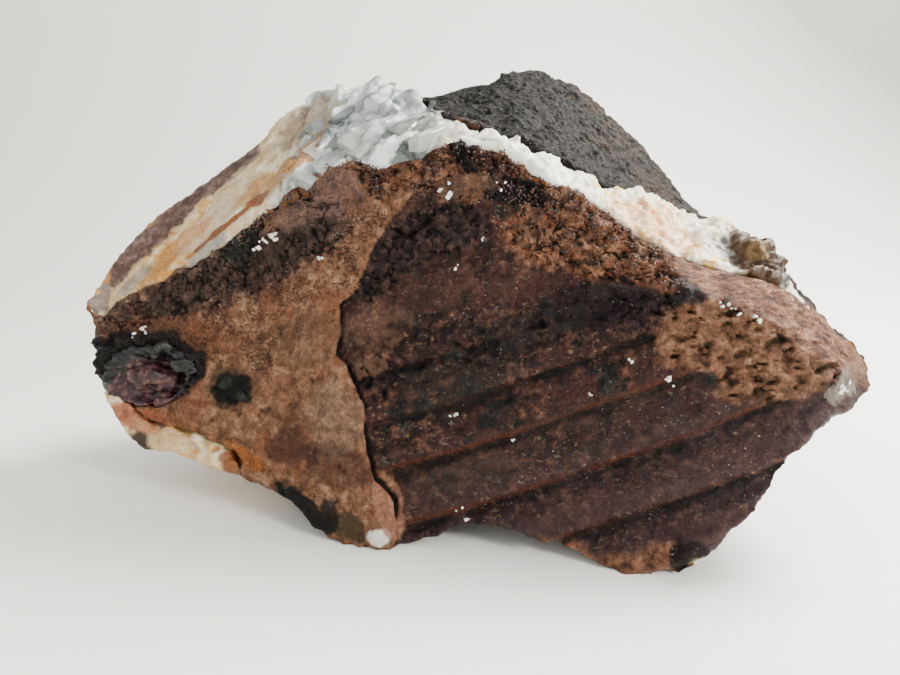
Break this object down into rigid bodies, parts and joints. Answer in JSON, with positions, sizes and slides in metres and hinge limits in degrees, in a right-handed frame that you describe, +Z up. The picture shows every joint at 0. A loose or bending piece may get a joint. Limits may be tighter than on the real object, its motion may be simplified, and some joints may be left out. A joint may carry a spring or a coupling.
{
  "type": "quartz and calcite geode",
  "caption": "Rough geode of dark fluted basalt with a vein of white quartz and honey calcite along its top and a pocket of dark crystals at its left end.",
  "frame": {"origin": "on the ground under the middle of the stone's box", "axes": "+X from the left tip to the right one as seen from the fluted front, +Y away from the front, +Z up as it rests on its three feet"},
  "size_m": [0.3522, 0.2038, 0.2137],
  "materials": {
    "host_rock": "rough maroon-brown and grey volcanic rock",
    "quartz_calcite_vein": "translucent white quartz and cream to honey calcite",
    "pocket_crystals": "glossy black and dark red crystals"
  },
  "bodies": {
    "root": {"host_rock": "host_rock", "quartz_calcite_vein": "quartz_calcite_vein", "pocket_crystals": "pocket_crystals"}
  },
  "joints": []
}
